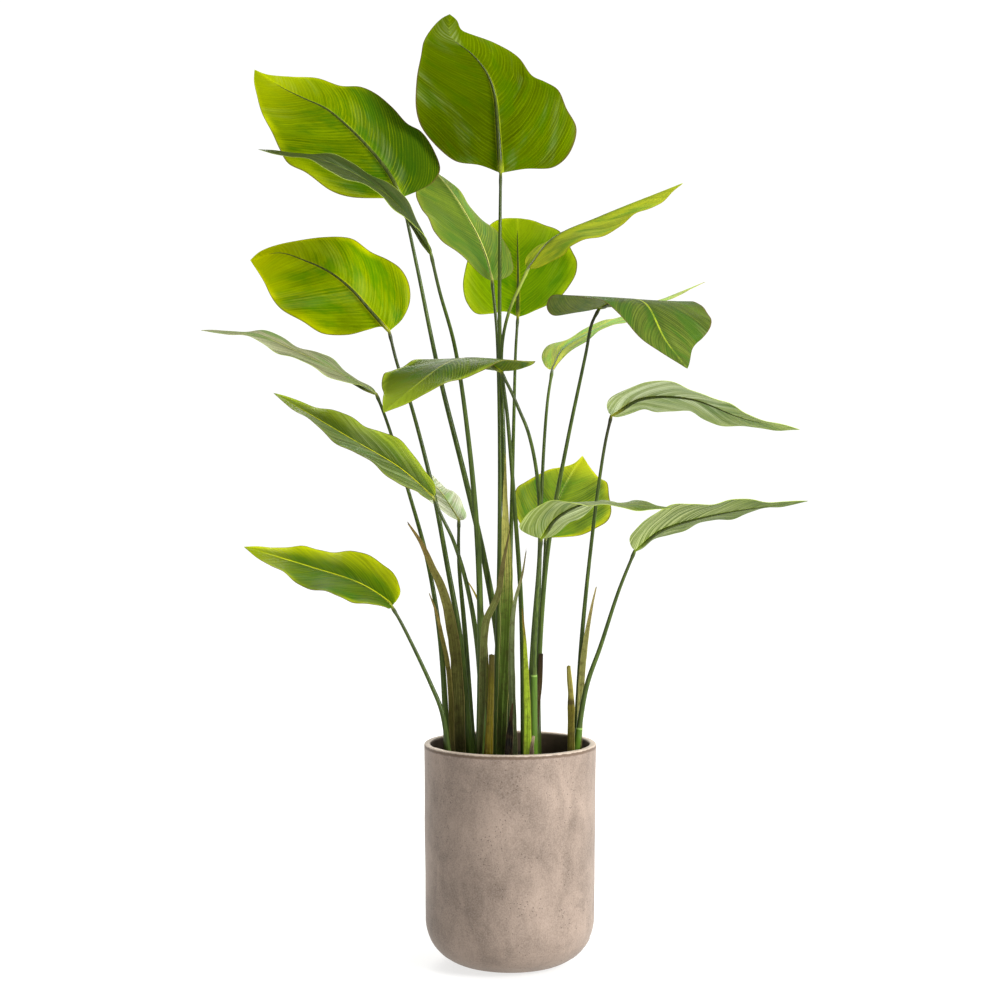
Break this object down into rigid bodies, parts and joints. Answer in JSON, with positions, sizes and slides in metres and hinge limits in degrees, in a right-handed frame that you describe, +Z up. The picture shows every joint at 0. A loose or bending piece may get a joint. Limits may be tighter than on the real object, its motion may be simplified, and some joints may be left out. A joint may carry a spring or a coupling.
{
  "type": "potted house plant",
  "caption": "Leafy clump of long-stalked paddle leaves and old leaf sheaths in a round cast pot with a rounded foot, filled with soil.",
  "frame": {"origin": "centre of the pot's flat underside", "axes": "+Z up along the pot's axis, +X to the plant's right as seen from the front, -Y towards the front"},
  "size_m": [0.765, 0.4974, 1.196],
  "materials": {
    "concrete": "matt cast concrete, taupe grey",
    "soil": "loose dark potting soil",
    "leaf": "satin leaf skin",
    "brown_sheath": "dry fibrous leaf base",
    "thin_sheath": "dry fibrous leaf base",
    "olive_sheath": "dry fibrous leaf base",
    "bent_sheath": "dry fibrous leaf base",
    "cut_stub": "dry fibrous leaf base",
    "middle_sheath": "dry fibrous leaf base",
    "dark_sheath": "dry fibrous leaf base",
    "lime_sheath": "dry fibrous leaf base",
    "dark_spike": "dry fibrous leaf base",
    "small_stub": "dry fibrous leaf base",
    "dark_stub": "dry fibrous leaf base",
    "split_stub": "dry fibrous leaf base",
    "tan_sheath": "dry fibrous leaf base"
  },
  "bodies": {
    "root": {"pot": "concrete", "soil": "soil", "leaf_01": "leaf", "leaf_02": "leaf", "leaf_03": "leaf", "leaf_04": "leaf", "leaf_05": "leaf", "leaf_06": "leaf", "leaf_07": "leaf", "leaf_08": "leaf", "leaf_09": "leaf", "leaf_10": "leaf", "leaf_11": "leaf", "leaf_12": "leaf", "leaf_13": "leaf", "leaf_14": "leaf", "leaf_15": "leaf", "leaf_16": "leaf", "leaf_17": "leaf", "leaf_18": "leaf", "brown_sheath": "brown_sheath", "thin_sheath": "thin_sheath", "olive_sheath": "olive_sheath", "bent_sheath": "bent_sheath", "cut_stub": "cut_stub", "middle_sheath": "middle_sheath", "dark_sheath": "dark_sheath", "lime_sheath": "lime_sheath", "dark_spike": "dark_spike", "small_stub": "small_stub", "dark_stub": "dark_stub", "split_stub": "split_stub", "tan_sheath": "tan_sheath"}
  },
  "joints": []
}
